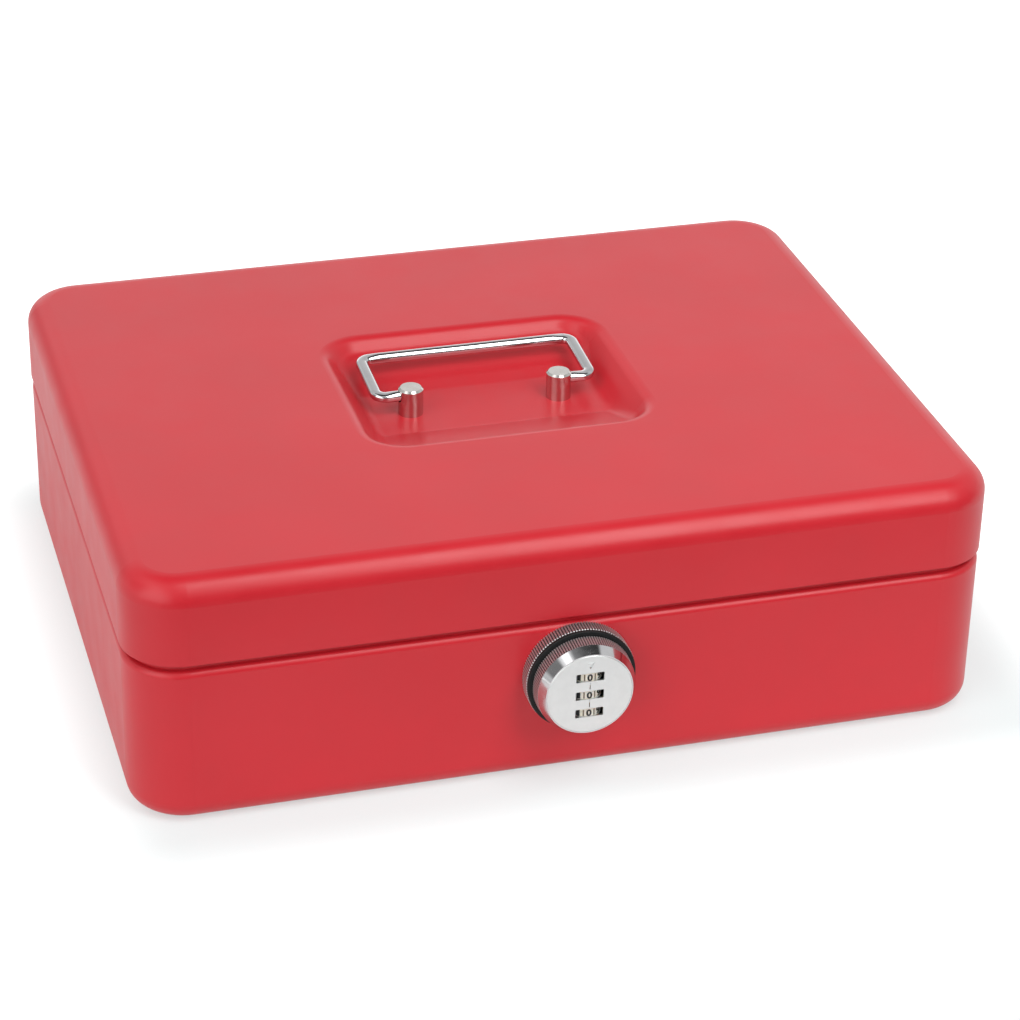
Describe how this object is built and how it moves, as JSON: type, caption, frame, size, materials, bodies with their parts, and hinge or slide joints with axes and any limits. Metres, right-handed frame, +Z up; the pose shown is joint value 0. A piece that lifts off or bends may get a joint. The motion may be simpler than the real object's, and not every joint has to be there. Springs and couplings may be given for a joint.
{
  "type": "cash box",
  "caption": "Rounded steel cash box with a hinged lid, a folding handle sunk in its top, a lift-out coin tray and a knob lock with number wheels.",
  "frame": {"origin": "middle of the flat underside", "axes": "+X along the front to the viewer's right, +Y to the hinge side, +Z up"},
  "size_m": [0.3, 0.2559, 0.0916],
  "materials": {
    "red_paint": "satin powder coat with fine orange peel",
    "chrome": "bright plated",
    "satin_nickel": "turned, polished rim",
    "face_silver": "satin silver",
    "black_rubber": "matt",
    "zinc_steel": "zinc plated",
    "code_brass": "stamped",
    "ivory_plastic": "moulded",
    "black_plastic": "moulded",
    "tray_plastic": "moulded, fine grain"
  },
  "bodies": {
    "base": {"base_shell": "red_paint", "hinge_base_leaf_left": "red_paint", "hinge_base_leaf_right": "red_paint", "hinge_pin_left": "zinc_steel", "hinge_pin_right": "zinc_steel", "lock_flange": "chrome", "friction_ring": "black_rubber", "lock_washer": "zinc_steel", "lock_nut": "zinc_steel", "tray_ledge_left": "red_paint", "tray_ledge_right": "red_paint"},
    "lid": {"lid_shell": "red_paint", "hinge_lid_leaf_left": "red_paint", "hinge_lid_leaf_right": "red_paint", "handle_post_left": "satin_nickel", "handle_post_right": "satin_nickel", "post_washers": "zinc_steel", "catch_plate": "zinc_steel"},
    "handle": {"carry_handle": "chrome"},
    "knob": {"knob_shell": "chrome", "face_plate": "face_silver", "wheel_carrier": "black_plastic", "wheel_shaft": "zinc_steel", "detent_spring": "zinc_steel", "locking_bar": "zinc_steel", "lock_cam": "zinc_steel", "cam_washer": "zinc_steel", "cam_screw": "zinc_steel"},
    "tray": {"coin_tray": "tray_plastic"},
    "wheel_top": {"number_wheel_top": "ivory_plastic", "code_disc_top": "code_brass"},
    "wheel_middle": {"number_wheel_middle": "ivory_plastic", "code_disc_middle": "code_brass"},
    "wheel_bottom": {"number_wheel_bottom": "ivory_plastic", "code_disc_bottom": "code_brass"}
  },
  "joints": [
    {"name": "lid_hinge", "type": "hinge", "parent": "base", "child": "lid", "pos_m": [0, 0.1206, 0.0588], "axis": [-1, 0, 0], "range_deg": [0, 100]},
    {"name": "handle_swing", "type": "hinge", "parent": "lid", "child": "handle", "pos_m": [0, 0, 0.08765], "axis": [1, 0, 0], "range_deg": [-7, 179]},
    {"name": "knob_turn", "type": "hinge", "parent": "base", "child": "knob", "pos_m": [0, -0.1182, 0.0394], "axis": [0, 1, 0], "range_deg": [0, 90]},
    {"name": "tray_lift", "type": "slide", "parent": "base", "child": "tray", "axis": [0, 0, 1], "range_m": [0, 0.008]},
    {"name": "wheel_top_spin", "type": "hinge", "parent": "knob", "child": "wheel_top", "pos_m": [0, -0.1271, 0.0394], "axis": [0, 0, 1], "continuous": true},
    {"name": "wheel_middle_spin", "type": "hinge", "parent": "knob", "child": "wheel_middle", "pos_m": [0, -0.1271, 0.0394], "axis": [0, 0, 1], "continuous": true},
    {"name": "wheel_bottom_spin", "type": "hinge", "parent": "knob", "child": "wheel_bottom", "pos_m": [0, -0.1271, 0.0394], "axis": [0, 0, 1], "continuous": true}
  ]
}
